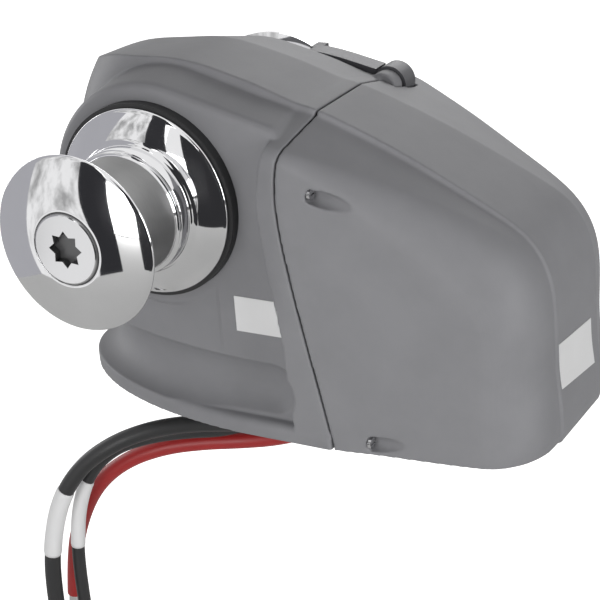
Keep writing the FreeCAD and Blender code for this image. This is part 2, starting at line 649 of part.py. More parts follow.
export("cover_screws", Part.makeCompound([screw_x(x, y, z) for x, y, z in screw_places()]))
plate = plate_blank(PLATE_INSET + PLATE_FIT, PLATE_T)
plate_holes = [cyl_z(BOLT_BOSS_R + 1, -1, 9, -BOLT_DX / 2, side * BOLT_DY / 2) for side in (-1, 1)]
plate_holes += [cyl_z(PLATE_SCREW_R, -1, 9, x, y) for x, y in plate_screw_places()]
plate_holes.append(cyl_z(PLUG_HEAD_R + 4, -1, 9, SHAFT_X, WHEEL_Y))
export("bottom_plate", plate.cut(plate_holes))
plate_screws = []
for x, y in plate_screw_places():
    shank = cyl_z(PLATE_SCREW_R, 0.2, 8.8, x, y)
    plate_screws.append(shank.cut(box(x - 1.6, x + 1.6, y - 0.4, y + 0.4, 0, 0.9)))
export("bottom_plate_screws", Part.makeCompound(plate_screws))
plug = cyl_z(PLUG_R, WORM_Z - WORM_ROOM_R - CASE_WALL, WORM_Z - WORM_ROOM_R - 1, SHAFT_X, WHEEL_Y)
plug_z = WORM_Z - WORM_ROOM_R - CASE_WALL
plug = plug.fuse(cyl_z(PLUG_HEAD_R, plug_z - 5, plug_z - 0.2, SHAFT_X, WHEEL_Y).fuse(
    cyl_z(PLUG_R, plug_z - 1, plug_z, SHAFT_X, WHEEL_Y)))
export("oil_plug", plug.cut(box(SHAFT_X - 4, SHAFT_X + 4, WHEEL_Y - 1, WHEEL_Y + 1, plug_z - 6, plug_z - 3)))


# Shaft, bearings and seals

export("bearing_near", bearing(FACE_Y + SEAL_W, BEARING_W))
export("bearing_far", bearing(FAR_WALL_Y - SEAL_W - BEARING_W, BEARING_W))
export("shaft_seal_near", ring_y(BEARING_OR, SHAFT_R + RUN_GAP, FACE_Y, FACE_Y + SEAL_W))
export("shaft_seal_far", ring_y(BEARING_OR, SHAFT_R + RUN_GAP, FAR_WALL_Y - SEAL_W, FAR_WALL_Y))
hub_near = WHEEL_Y - HUB_HALF
shaft = turned([
    (0, SHAFT_END_NEAR), (SHAFT_R, SHAFT_END_NEAR), (SHAFT_R, hub_near - 4),
    (SHAFT_R + 4, hub_near - 4), (SHAFT_R + 4, hub_near), (SHAFT_R, hub_near),
    (SHAFT_R, THREAD_Y), (THREAD_R, THREAD_Y), (THREAD_R, SHAFT_END_FAR), (0, SHAFT_END_FAR)])
shaft = shaft.cut([key_box(DRUM_KEY_Y, DRUM_KEY_L), key_box(WHEEL_KEY_Y, WHEEL_KEY_L),
                   key_box(CONE_KEY_Y, CONE_KEY_L),
                   cyl_y(CAP_STUD_R, SHAFT_END_NEAR - 1, SHAFT_END_NEAR + CAP_STUD_L),
                   ring_y(SHAFT_R + 1, SHAFT_R - 1.2, CLIP_Y, CLIP_Y + CLIP_T)])
export("main_shaft", shaft)
export("drum_key", key_box(DRUM_KEY_Y, DRUM_KEY_L))
export("wheel_key", key_box(WHEEL_KEY_Y, WHEEL_KEY_L))
export("cone_key", key_box(CONE_KEY_Y, CONE_KEY_L))
clip = ring_y(SHAFT_R + 5, SHAFT_R - 1.2, CLIP_Y, CLIP_Y + CLIP_T)
clip = clip.cut(box(SHAFT_X - 4, SHAFT_X + 4, CLIP_Y - 1, CLIP_Y + 3, SHAFT_Z, SHAFT_Z + 40))
export("shaft_circlip", clip)
hub_far = WHEEL_Y + HUB_HALF
rim_near, rim_far = WHEEL_Y - WHEEL_WIDTH / 2, WHEEL_Y + WHEEL_WIDTH / 2
web_near, web_far = WHEEL_Y - 5, WHEEL_Y + 5
rim_inner = WHEEL_R - 12
wheel = turned([
    (SHAFT_R, hub_near), (HUB_R, hub_near), (HUB_R, web_near), (rim_inner, web_near),
    (rim_inner, rim_near), (WHEEL_R, rim_near), (WHEEL_R, rim_far), (rim_inner, rim_far),
    (rim_inner, web_far), (HUB_R, web_far), (HUB_R, hub_far), (SHAFT_R, hub_far)])
export("worm_wheel", wheel.cut(key_box(WHEEL_KEY_Y, WHEEL_KEY_L)))


# Worm, coupling and motor

worm = cyl_x(WORM_SHAFT_R, WORM_START_X + 1, COUPLING_MID, WHEEL_Y, WORM_Z)
worm = worm.fuse(cyl_x(WORM_R, SHAFT_X - WORM_HALF, SHAFT_X + WORM_HALF, WHEEL_Y, WORM_Z))
export("worm_shaft", worm)
rear_x = BULKHEAD_X + 2
for name, x in (("worm_bearing_front", WORM_START_X), ("worm_bearing_rear", rear_x)):
    race = cyl_x(WORM_BEARING_OR, x, x + WORM_BEARING_W, WHEEL_Y, WORM_Z)
    export(name, race.cut(cyl_x(WORM_SHAFT_R + RUN_GAP, x - 1, x + WORM_BEARING_W + 1, WHEEL_Y, WORM_Z)))
sleeve = cyl_x(COUPLING_R, COUPLING_MID - 10, COUPLING_MID + 12, WHEEL_Y, WORM_Z)
sleeve = sleeve.cut([cyl_x(WORM_SHAFT_R, COUPLING_MID - 11, COUPLING_MID, WHEEL_Y, WORM_Z),
                     cyl_x(ROTOR_SHAFT_R, COUPLING_MID, COUPLING_MID + 13, WHEEL_Y, WORM_Z)])
export("coupling", sleeve)
case = cyl_x(MOTOR_R, MOTOR_START_X, MOTOR_END_X, WHEEL_Y, WORM_Z)
case = case.cut([cyl_x(MOTOR_R - MOTOR_WALL, MOTOR_START_X + 8, MOTOR_END_X + 1, WHEEL_Y, WORM_Z),
                 cyl_x(ROTOR_SHAFT_R + RUN_GAP, MOTOR_START_X - 1, MOTOR_START_X + 9, WHEEL_Y, WORM_Z)])
for y, z in motor_bolt_places():
    case = case.cut(cyl_x(MOTOR_BOLT_R, MOTOR_START_X - 1, MOTOR_START_X + 9, y, z))
export("motor_case", case)
rotor = cyl_x(ROTOR_SHAFT_R, COUPLING_MID + 0.5, MOTOR_END_X + 10, WHEEL_Y, WORM_Z)
rotor = rotor.fuse(cyl_x(ROTOR_R, MOTOR_START_X + 16, MOTOR_END_X - 30, WHEEL_Y, WORM_Z))
rotor = rotor.fuse(cyl_x(ROTOR_R * 0.6, MOTOR_END_X - 26, MOTOR_END_X - 6, WHEEL_Y, WORM_Z))
rotor = rotor.fuse(cyl_x(ROTOR_R * 0.5, MOTOR_END_X - 31, MOTOR_END_X - 25, WHEEL_Y, WORM_Z))
export("motor_rotor", rotor)
end_cap = cyl_x(MOTOR_R, MOTOR_END_X, MOTOR_END_X + 8, WHEEL_Y, WORM_Z)
end_cap = end_cap.fuse(cyl_x(ROTOR_SHAFT_R + 8, MOTOR_END_X + 7, MOTOR_END_X + 13, WHEEL_Y, WORM_Z))
end_cap = end_cap.cut(cyl_x(ROTOR_SHAFT_R + RUN_GAP, MOTOR_END_X - 1, MOTOR_END_X + 11, WHEEL_Y, WORM_Z))
for y, z in motor_bolt_places():
    end_cap = end_cap.cut(cyl_x(MOTOR_BOLT_R, MOTOR_END_X - 1, MOTOR_END_X + 9, y, z))
export("motor_end_cap", end_cap)
bolts = []
for y, z in motor_bolt_places():
    bolts.append(cyl_x(MOTOR_BOLT_R, MOTOR_START_X - 11, MOTOR_END_X + 8, y, z).fuse(
        hexagon_x(8, MOTOR_END_X + 8, 4, y, z)))
export("motor_bolts", Part.makeCompound(bolts))
under = WORM_Z - MOTOR_R
terminals = box(TERMINAL_X, TERMINAL_X + 16, TERMINAL_Y0, TERMINAL_Y1, under - 18, under + 6)
terminals = terminals.cut(cyl_x(MOTOR_R, MOTOR_START_X, MOTOR_END_X, WHEEL_Y, WORM_Z))


# Drum side

export("seal_ring", ring_y(RING_R, BEARING_OR + 6, RING_FACE_Y, FACE_Y))
drum_back = RING_FACE_Y - SEAT_GAP
drum = turned([
    (SHAFT_R, drum_back), (DRUM_FLANGE_R, drum_back), (DRUM_FLANGE_R, RING_FACE_Y - 3),
    (66, -109.5), (57, -112.5), (51, -117), (48.5, -121), (48.5, -132),
    (DRUM_BARREL_R, -134), (DRUM_BARREL_R, -176), (46, -180), (51, -184.5), (58, -189),
    (DRUM_RIM_R - 1, -193), (DRUM_RIM_R, DRUM_RIM_Y), (DRUM_RIM_R - 1, -195.5),
    (60, -197.5), (50, -200.5), (40, -203), (CAP_R, DRUM_HUB_Y),
    (CAP_R, DRUM_HUB_Y + CAP_DEPTH), (SHAFT_R, DRUM_HUB_Y + CAP_DEPTH)])
export("warping_drum", drum.cut(key_box(DRUM_KEY_Y, DRUM_KEY_L)))


def star(radius, inner, y0, depth, points=8):
    pts = []
    for i in range(2 * points + 1):
        r = radius if i % 2 == 0 else inner
        t = math.pi * i / points
        pts.append(V(SHAFT_X + r * math.sin(t), y0, SHAFT_Z + r * math.cos(t)))
    return Part.Face(Part.makePolygon(pts)).extrude(V(0, depth, 0))


cap_edge = CAP_R - CAP_FIT
cap = turned([
    (0, DRUM_HUB_Y - 1.5), (CAP_R - 2, DRUM_HUB_Y - 1.5), (cap_edge, DRUM_HUB_Y),
    (cap_edge, DRUM_HUB_Y + CAP_DEPTH), (0, DRUM_HUB_Y + CAP_DEPTH)])
cap = cap.fuse(cyl_y(CAP_STUD_R, DRUM_HUB_Y + CAP_DEPTH - 1, SHAFT_END_NEAR + CAP_STUD_L - 2))
export("drum_cap", cap.cut(star(CAP_SOCKET_R, CAP_SOCKET_R * 0.72, DRUM_HUB_Y - 3, SOCKET_DEPTH + 1.5)))


# Gypsy and its clutch

mid_y = GYPSY_NEAR_Y + GYPSY_WIDTH / 2
far_y = GYPSY_NEAR_Y + GYPSY_WIDTH
near_cone_end = GYPSY_NEAR_Y + CONE_DEPTH
far_cone_end = far_y - CONE_DEPTH
cone_small = CONE_R - CONE_FALL
gypsy = turned([
    (BUSH_R, near_cone_end), (cone_small, near_cone_end), (CONE_R, GYPSY_NEAR_Y),
    (GYPSY_R - 3, GYPSY_NEAR_Y), (GYPSY_R, GYPSY_NEAR_Y + 3), (GYPSY_R, GYPSY_NEAR_Y + 6),
    (GYPSY_ROOT_R + 9, mid_y - 9), (GYPSY_ROOT_R, mid_y - CHAIN_WIRE_R),
    (GYPSY_ROOT_R, mid_y + CHAIN_WIRE_R), (GYPSY_ROOT_R + 9, mid_y + 9),
    (GYPSY_R, far_y - 6), (GYPSY_R, far_y - 3), (GYPSY_R - 3, far_y),
    (CONE_R, far_y), (cone_small, far_cone_end), (BUSH_R, far_cone_end)])
pockets = []
for i in range(POCKETS):
    flat = box(-POCKET_L / 2, POCKET_L / 2, -POCKET_W / 2, POCKET_W / 2, 0, 40)
    upright = [e for e in flat.Edges if 39 < e.Length < 41]
    rounded = flat.makeFillet(POCKET_W / 2 - 0.5, upright)
    rounded.translate(V(SHAFT_X, mid_y, SHAFT_Z + GYPSY_ROOT_R - 2))
    rounded.rotate(V(SHAFT_X, 0, SHAFT_Z), V(0, 1, 0), 360.0 * i / POCKETS)
    pockets.append(rounded)
export("gypsy", gypsy.cut(pockets))
export("gypsy_bush", ring_y(BUSH_R, SHAFT_R + RUN_GAP, near_cone_end + SEAT_GAP, far_cone_end - SEAT_GAP))
start = FAR_WALL_Y + SEAT_GAP
inner_cone = turned([
    (SHAFT_R, start), (HUB_R, start), (CONE_R - 2, GYPSY_NEAR_Y - 4), (CONE_R - 2, GYPSY_NEAR_Y - 1),
    (CONE_R - CONE_GAP, GYPSY_NEAR_Y), (cone_small - CONE_GAP, near_cone_end - CONE_GAP),
    (SHAFT_R, near_cone_end - CONE_GAP)])
export("inner_cone", inner_cone)
outer_cone = turned([
    (SHAFT_R + RUN_GAP, far_cone_end + CONE_GAP), (cone_small - CONE_GAP, far_cone_end + CONE_GAP),
    (CONE_R - CONE_GAP, far_y), (CONE_R + 6, far_y + SEAT_GAP), (CONE_R + 6, far_y + 3),
    (CONE_R - 4, far_y + 6), (NUT_R, far_y + 7), (SHAFT_R + RUN_GAP, far_y + 7)])
key_half = KEY_W / 2 + RUN_GAP
key_top = SHAFT_Z + SHAFT_R + KEY_RISE + 0.3
key_room = box(SHAFT_X - key_half, SHAFT_X + key_half, 0, 200, SHAFT_Z, key_top)
export("outer_cone", outer_cone.cut(key_room.common(cyl_y(SHAFT_R + 8, 0, 200))))
nut_y = far_y + 7 + SEAT_GAP
nut_face = nut_y + NUT_W
nut = turned([
    (THREAD_R + RUN_GAP, nut_y), (NUT_R, nut_y), (NUT_R, nut_face - 3), (NUT_R - 3, nut_face),
    (CAP_SOCKET_R, nut_face), (THREAD_R + RUN_GAP, nut_face - SOCKET_DEPTH)])
nut = nut.cut(star(CAP_SOCKET_R + 4, CAP_SOCKET_R + 0.5, nut_face - SOCKET_DEPTH, SOCKET_DEPTH + 2))
export("clutch_nut", nut)


# Chain pipe, stripper and pressure lever

pipe = cyl_z(PIPE_OR, 0.5, BASE_LIP + 6, PIPE_X, PIPE_Y)
pipe = pipe.fuse(cyl_z(PIPE_OR + 4, BASE_LIP, BASE_LIP + 3, PIPE_X, PIPE_Y))
export("chain_pipe", pipe.cut(cyl_z(PIPE_IR, -1, 60, PIPE_X, PIPE_Y)))
finger_z = SHAFT_Z - 40
root_x = SHAFT_X + math.sqrt((GYPSY_ROOT_R + 4) ** 2 - 40 ** 2)
arm = box(STRIPPER_X - 30, STRIPPER_X, FAR_WALL_Y, FAR_WALL_Y + 5, finger_z - 22, finger_z + 6)
finger = box(root_x, STRIPPER_X, FAR_WALL_Y, mid_y + 3.5, finger_z - 4, finger_z + 4)
clear = cyl_y(GYPSY_R + 3, GYPSY_NEAR_Y - 3, mid_y - 3.4)
foot = cyl_y(GYPSY_ROOT_R + 3, 0, 200)
stripper = arm.fuse(finger.cut(clear)).cut(foot)
stripper = stripper.cut([cyl_y(SCREW_R, FAR_WALL_Y - 1, FAR_WALL_Y + 6, x, z) for x, z in STRIPPER_HOLES])
export("chain_stripper", stripper)
screws = []
for x, z in STRIPPER_HOLES:
    shank = cyl_y(SCREW_R, FAR_WALL_Y - 7.5, FAR_WALL_Y + 5, x, z)
    screws.append(shank.fuse(cyl_y(SCREW_HEAD_R, FAR_WALL_Y + 5, FAR_WALL_Y + 8, x, z)))
export("stripper_screws", Part.makeCompound(screws))
lever_y1 = LEVER_NEAR_Y + LEVER_WIDTH
top = [(LEVER_X - 11, LEVER_Z + 11), (0, LEVER_Z + 13.5), (-20, LEVER_Z + 18), (-48, LEVER_Z + 21.5)]
low = [(-57, LEVER_Z + 17), (-46, LEVER_Z + 13), (-20, LEVER_Z + 7.5), (LEVER_X - 12, LEVER_Z - 3)]
edge = [V(x, LEVER_NEAR_Y, z) for x, z in top]
edge2 = [V(x, LEVER_NEAR_Y, z) for x, z in low]
outline = Part.Wire([spline(edge), Part.makeLine(edge[-1], edge2[0]), spline(edge2),
                     Part.makeLine(edge2[-1], edge[0])])
lever = Part.Face(outline).extrude(V(0, LEVER_WIDTH, 0))
lever = lever.fuse(cyl_y(LEVER_BOSS_R, LEVER_NEAR_Y, lever_y1, LEVER_X, LEVER_Z))
lever = lever.fuse(box(-54, -45, lever_y1 - 2, mid_y + 6, LEVER_Z + 13, LEVER_Z + 20))
lever = lever.cut([cyl_y(PIN_R + RUN_GAP, 0, 200, LEVER_X, LEVER_Z),
                   cyl_y(SPRING_R + 0.6, lever_y1 - SPRING_W - 0.6, lever_y1 + 1, LEVER_X, LEVER_Z)])
export("pressure_lever", lever)
pin_y1 = lever_y1 + SEAT_GAP
pin = cyl_y(PIN_R, LEVER_NEAR_Y - LUG_W + 1, pin_y1, LEVER_X, LEVER_Z)
export("lever_pin", pin.fuse(cyl_y(SPRING_R + 0.5, pin_y1, pin_y1 + PIN_HEAD, LEVER_X, LEVER_Z)))
coil = cyl_y(SPRING_R, lever_y1 - SPRING_W, lever_y1 + SEAT_GAP, LEVER_X, LEVER_Z)
coil = coil.cut(cyl_y(PIN_R, 0, 200, LEVER_X, LEVER_Z))
for i in range(3):
    groove_y = lever_y1 - SPRING_W + 2 + 2 * i
    coil = coil.cut(ring_y(SPRING_R + 1, SPRING_R - 0.6, groove_y - 0.3, groove_y + 0.3, LEVER_X, LEVER_Z))
export("lever_spring", coil)


# Leads, with straight runs and tangent arcs

def lead(name, radius, route):
    pts = [V(*p) for p in route]
    edges, here, tightest = [], pts[0], math.inf
    for before, corner, after in zip(pts, pts[1:], pts[2:]):
        u, w = (before - corner), (after - corner)
        shorter = min(u.Length, w.Length)
        u.normalize()
        w.normalize()
        half = (math.pi - u.getAngle(w)) / 2
        reach = 0.45 * shorter
        bend = reach / math.tan(half)
        tightest = min(tightest, bend)
        a, b = corner + u * reach, corner + w * reach
        middle = corner + (u + w).normalize() * (bend / math.cos(half) - bend)
        arc = Part.Arc(a, middle, b).toShape()
        edges += [Part.makeLine(here, a), arc]
        here = b
    edges.append(Part.makeLine(here, pts[-1]))
    length = sum(e.Length for e in edges)
    start = pts[1] - pts[0]
    profile = Part.Wire([Part.makeCircle(radius, pts[0], start)])
    tube = Part.Wire(edges).makePipeShell([profile], True, True)
    print(f"{name}: length {length:.0f} mm, tightest {tightest:.0f} mm, volume ratio",
          round(tube.Volume / (math.pi * radius ** 2 * length), 4))
    export(name, tube)
    return tube, pts[-1], (pts[-1] - pts[-2]).normalize()


def lug(end, direction, radius):
    """Crimped ring lug: barrel on the lead's end, flat palm with a hole."""
    tip = end + direction * LUG_BARREL
    barrel = Part.makeCylinder(radius * 0.8, LUG_BARREL, end, direction)
    side = direction.cross(V(0, 1, 0)).normalize()
    across = direction.cross(side)
    eye = tip + direction * (radius + 1)
    palm = Part.makeCylinder(radius + 3, LUG_T, eye - side * (LUG_T / 2), side)
    hole = Part.makeCylinder(LUG_HOLE_R, LUG_T + 4, eye - side * (LUG_T / 2 + 2), side)
    return barrel.fuse(palm).cut(hole)


tubes = []
for name, radius, start_y, route in LEADS:
    tube, end, direction = lead(name, radius, [(TERMINAL_X, start_y, under - 9)] + route)
    tubes.append(tube)
    export(name.replace("lead", "lug"), lug(end, direction, radius))
gland_reach = GLAND_EDGE - SEAT_GAP
grommet = box(GLAND_X, GLAND_X + 12, TERMINAL_Y0 - gland_reach, TERMINAL_Y1 + gland_reach, 2, 34)
export("cable_gland", grommet.cut(tubes))
export("motor_terminals", terminals.cut(tubes))
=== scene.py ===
"""Looks of the horizontal anchor windlass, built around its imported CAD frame. Units are metres."""
import json
import math

import bmesh
import bpy
from mathutils import Matrix, Vector
from mathutils.bvhtree import BVHTree


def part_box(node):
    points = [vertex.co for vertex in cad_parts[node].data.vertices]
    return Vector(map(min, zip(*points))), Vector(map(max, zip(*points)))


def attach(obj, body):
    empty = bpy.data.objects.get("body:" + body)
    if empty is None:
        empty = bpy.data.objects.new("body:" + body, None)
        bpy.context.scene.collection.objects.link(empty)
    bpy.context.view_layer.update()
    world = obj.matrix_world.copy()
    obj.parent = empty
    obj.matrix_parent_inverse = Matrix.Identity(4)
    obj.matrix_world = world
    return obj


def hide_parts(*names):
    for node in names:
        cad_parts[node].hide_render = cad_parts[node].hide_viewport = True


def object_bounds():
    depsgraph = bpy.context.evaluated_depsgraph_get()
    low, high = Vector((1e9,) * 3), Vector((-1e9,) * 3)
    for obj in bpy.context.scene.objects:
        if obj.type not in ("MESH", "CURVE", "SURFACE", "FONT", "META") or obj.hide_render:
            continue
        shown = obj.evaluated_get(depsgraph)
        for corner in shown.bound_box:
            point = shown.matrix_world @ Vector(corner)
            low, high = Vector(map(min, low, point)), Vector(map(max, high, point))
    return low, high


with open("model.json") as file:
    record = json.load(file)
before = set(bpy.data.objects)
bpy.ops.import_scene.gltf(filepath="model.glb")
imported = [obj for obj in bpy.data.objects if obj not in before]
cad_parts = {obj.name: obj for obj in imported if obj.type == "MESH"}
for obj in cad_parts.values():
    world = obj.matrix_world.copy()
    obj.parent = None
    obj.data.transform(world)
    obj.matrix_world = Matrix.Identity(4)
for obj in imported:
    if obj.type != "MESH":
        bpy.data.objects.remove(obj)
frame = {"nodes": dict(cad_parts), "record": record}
NODES = frame["nodes"]
cad_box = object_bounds()
MM = 0.001

# Main shaft line, read from the frame
JOINTS = {joint["name"]: joint for joint in frame["record"]["behaviour"]["joints"]}
SHAFT_X, _, SHAFT_Z = JOINTS["mainshaft_spin"]["pos_m"]
CAP_FACE_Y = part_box("drum_cap")[0][1]

# Depth behind the cap's face at which the painted socket shade and the rougher metal start, and over which
# they set in
SOCKET_LIP = 0.0002
SOCKET_FADE = 0.001


# Materials

def new_material(name):
    material = bpy.data.materials.new(name)
    material.use_nodes = True
    tree = material.node_tree
    return material, tree, tree.nodes["Principled BSDF"]


def set_shader(shader, **values):
    for name, value in values.items():
        shader.inputs[name.replace("_", " ")].default_value = value


def coords(tree, scale):
    """Object coordinates times scale, the same in every view."""
    place = tree.nodes.new("ShaderNodeTexCoord")
    mapping = tree.nodes.new("ShaderNodeMapping")
    mapping.inputs["Scale"].default_value = scale
    tree.links.new(place.outputs["Object"], mapping.inputs["Vector"])
    return mapping.outputs["Vector"]


def noise(tree, vector, scale, detail=3.0, rough=0.5):
    node = tree.nodes.new("ShaderNodeTexNoise")
    node.inputs["Scale"].default_value = scale
    node.inputs["Detail"].default_value = detail
    node.inputs["Roughness"].default_value = rough
    tree.links.new(vector, node.inputs["Vector"])
    return node.outputs["Fac"]


def ramp(tree, value, low, high, low_color, high_color):
    node = tree.nodes.new("ShaderNodeValToRGB")
    node.color_ramp.elements[0].position = low
    node.color_ramp.elements[1].position = high
    node.color_ramp.elements[0].color = (*low_color, 1)
    node.color_ramp.elements[1].color = (*high_color, 1)
    tree.links.new(value, node.inputs["Fac"])
    return node.outputs["Color"]


def spread(tree, value, low, high):
    """Maps a 0 to 1 value to low to high."""
    node = tree.nodes.new("ShaderNodeMapRange")
    node.inputs["To Min"].default_value = low
    node.inputs["To Max"].default_value = high
    tree.links.new(value, node.inputs["Value"])
    return node.outputs["Result"]


def bump(tree, shader, height, strength, distance):
    node = tree.nodes.new("ShaderNodeBump")
    node.inputs["Strength"].default_value = strength
    node.inputs["Distance"].default_value = distance
    tree.links.new(height, node.inputs["Height"])
    tree.links.new(node.outputs["Normal"], shader.inputs["Normal"])


def shade(color, factor):
    return tuple(channel * factor for channel in color)


def grained(name, color, rough, grain, depth, metallic=0.0, mottle=0.04, gloss=0.5):
    """Painted or moulded surface with a fine grain, faint mottling and uneven gloss."""
    material, tree, shader = new_material(name)
    vector = coords(tree, (1, 1, 1))
    broad = noise(tree, vector, 18.0, 4.0, 0.6)
    fine = noise(tree, vector, grain, 2.0, 0.6)
    tint = ramp(tree, broad, 0.35, 0.65, shade(color, 1 - mottle), shade(color, 1 + mottle))
    tree.links.new(tint, shader.inputs["Base Color"])
    tree.links.new(spread(tree, fine, rough - 0.05, rough + 0.07), shader.inputs["Roughness"])
    set_shader(shader, Metallic=metallic, Specular_IOR_Level=gloss)
    bump(tree, shader, fine, 0.35, depth)
    return material


def polished(name, color, rough, streak=0.02):
    """Polished metal with a slight haze."""
    material, tree, shader = new_material(name)
    vector = coords(tree, (1, 1, 1))
    haze = noise(tree, vector, 60.0, 5.0, 0.6)
    tree.links.new(spread(tree, haze, max(0.02, rough - streak), rough + streak), shader.inputs["Roughness"])
    tint = ramp(tree, haze, 0.3, 0.7, shade(color, 0.97), color)
    tree.links.new(tint, shader.inputs["Base Color"])
    set_shader(shader, Metallic=1.0)
    return material


def socket_shaded(name, color, rough):
    """Polished face, with rougher metal behind it that is darkened as painted shade in the socket."""
    material, tree, shader = new_material(name)
    place = tree.nodes.new("ShaderNodeTexCoord")
    apart = tree.nodes.new("ShaderNodeSeparateXYZ")
    tree.links.new(place.outputs["Object"], apart.inputs["Vector"])
    depth = tree.nodes.new("ShaderNodeMapRange")
    depth.inputs["From Min"].default_value = CAP_FACE_Y + SOCKET_LIP
    depth.inputs["From Max"].default_value = CAP_FACE_Y + SOCKET_LIP + SOCKET_FADE
    tree.links.new(apart.outputs["Y"], depth.inputs["Value"])
    # painted shade: behind the face the metal's colour falls to 0.22 of itself
    tint = ramp(tree, depth.outputs["Result"], 0.0, 1.0, color, shade(color, 0.22))
    tree.links.new(tint, shader.inputs["Base Color"])
    tree.links.new(spread(tree, depth.outputs["Result"], rough, 0.45), shader.inputs["Roughness"])
    set_shader(shader, Metallic=1.0)
    return material


def turned_metal(name, color, rough):
    """Machined metal with fine marks round the shaft direction."""
    material, tree, shader = new_material(name)
    vector = coords(tree, (40, 900, 40))
    marks = noise(tree, vector, 3.0, 2.0, 0.5)
    tree.links.new(spread(tree, marks, rough - 0.06, rough + 0.1), shader.inputs["Roughness"])
    tree.links.new(ramp(tree, marks, 0.3, 0.7, shade(color, 0.9), color), shader.inputs["Base Color"])
    set_shader(shader, Metallic=1.0)
    bump(tree, shader, marks, 0.1, 0.0001)
    return material


GREY = (0.235, 0.235, 0.247)
HOUSING = grained("housing_paint", GREY, 0.5, 900.0, 0.00012, gloss=0.22)
COVER = grained("cover_paint", GREY, 0.5, 1100.0, 0.00010, gloss=0.22)
LEVER = grained("lever_paint", (0.085, 0.085, 0.092), 0.45, 900.0, 0.00012, metallic=0.2)
CHROME = polished("drum_chrome", (0.80, 0.80, 0.81), 0.045, 0.02)
BARREL = turned_metal("drum_barrel", (0.40, 0.40, 0.40), 0.42)
CAP_METAL = socket_shaded("cap_metal_socket_shade", (0.72, 0.72, 0.73), 0.12)
STEEL = turned_metal("steel", (0.52, 0.52, 0.54), 0.32)
STAINLESS = polished("stainless", (0.66, 0.66, 0.67), 0.2, 0.05)
BRONZE = turned_metal("bronze", (0.60, 0.38, 0.17), 0.35)
MOTOR = grained("motor_black", (0.02, 0.02, 0.022), 0.35, 700.0, 0.00008)
MOULDING = grained("terminal_plastic", (0.03, 0.03, 0.03), 0.5, 800.0, 0.0001)
RUBBER = grained("seal_rubber", (0.014, 0.014, 0.015), 0.5, 1200.0, 0.00006)
SHEATH_BLACK = grained("lead_black", (0.022, 0.022, 0.023), 0.42, 600.0, 0.00008)
SHEATH_RED = grained("lead_red", (0.36, 0.018, 0.018), 0.4, 600.0, 0.00008)
TIN = polished("lug_tin", (0.70, 0.70, 0.70), 0.25, 0.05)
FILM = grained("blank_film", (0.74, 0.74, 0.745), 0.38, 500.0, 0.00002, mottle=0.015)

SLOT_MATERIAL = {
    "housing_paint": HOUSING, "cover_paint": COVER, "lever_paint": LEVER, "drum_chrome": CHROME,
    "stainless": STAINLESS, "steel": STEEL, "bronze": BRONZE, "brass": BRONZE, "motor_black": MOTOR,
    "terminal_plastic": MOULDING, "seal_rubber": RUBBER, "lead_black": SHEATH_BLACK,
    "lead_red": SHEATH_RED, "lug_tin": TIN}
SLOT_OF = {part["node"]: part["material_slot"] for part in frame["record"]["subparts"]}
NODE_MATERIAL = {"drum_cap": CAP_METAL}

for node_name, node in NODES.items():
    node.data.materials.clear()
    node.data.materials.append(NODE_MATERIAL.get(node_name, SLOT_MATERIAL[SLOT_OF[node_name]]))


# Mesh helpers

def add_object(name, mesh, material, body):
    piece = bpy.data.objects.new(name, mesh)
    bpy.context.collection.objects.link(piece)
    mesh.materials.clear()
    mesh.materials.append(material)
    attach(piece, body)
    return piece


def apply_modifiers(piece):
    """Turns the piece's modifiers into its own mesh."""
    bpy.context.view_layer.update()
    graph = bpy.context.evaluated_depsgraph_get()
    mesh = bpy.data.meshes.new_from_object(piece.evaluated_get(graph))
    piece.modifiers.clear()
    piece.data = mesh


def smooth(mesh):
    mesh.polygons.foreach_set("use_smooth", [True] * len(mesh.polygons))


def write_mesh(build, name):
    """New mesh from the faces built so far, all turned outward."""
    bmesh.ops.recalc_face_normals(build, faces=build.faces)
    mesh = bpy.data.meshes.new(name)
    build.to_mesh(mesh)
    build.free()
    return mesh


def bridge(build, lower, upper):
    """Faces between two rings of as many points."""
    for step in range(len(lower)):
        following = (step + 1) % len(lower)
        build.faces.new((lower[step], lower[following], upper[following], upper[step]))


def softened(node_name, voxel, passes, keep, body):
    """Copy of a CAD shell with its edges rounded as on a casting, in place of the node."""
    piece = add_object(node_name + "_skin", NODES[node_name].data.copy(),
                       SLOT_MATERIAL[SLOT_OF[node_name]], body)
    remesh = piece.modifiers.new("remesh", "REMESH")
    remesh.mode = "VOXEL"
    remesh.voxel_size = voxel
    soften = piece.modifiers.new("soften", "CORRECTIVE_SMOOTH")
    soften.factor = 0.5
    soften.iterations = passes
    soften.smooth_type = "LENGTH_WEIGHTED"
    soften.use_only_smooth = True
    thin = piece.modifiers.new("thin", "DECIMATE")
    thin.ratio = keep
    apply_modifiers(piece)
    smooth(piece.data)
    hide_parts(node_name)
    return piece


# Shells

SHELL_VOXEL = 0.0011
SHELL_KEEP = 0.35

softened("gear_housing", SHELL_VOXEL, 6, SHELL_KEEP, "root")
softened("motor_cover", SHELL_VOXEL, 5, SHELL_KEEP, "root")


# Drum, turned from its outline in millimetres

def turned_piece(name, outline, steps, material, body):
    """Surface of revolution about the shaft line from (radius, y) points in millimetres."""
    build = bmesh.new()
    rings = []
    for radius, y in outline:
        ring = []
        for step in range(steps):
            angle = 2 * math.pi * step / steps
            ring.append(build.verts.new((SHAFT_X + radius * MM * math.sin(angle), y * MM,
                                         SHAFT_Z + radius * MM * math.cos(angle))))
        rings.append(ring)
    for lower, upper in zip(rings, rings[1:]):
        bridge(build, lower, upper)
    mesh = write_mesh(build, name)
    smooth(mesh)
    return add_object(name, mesh, material, body)


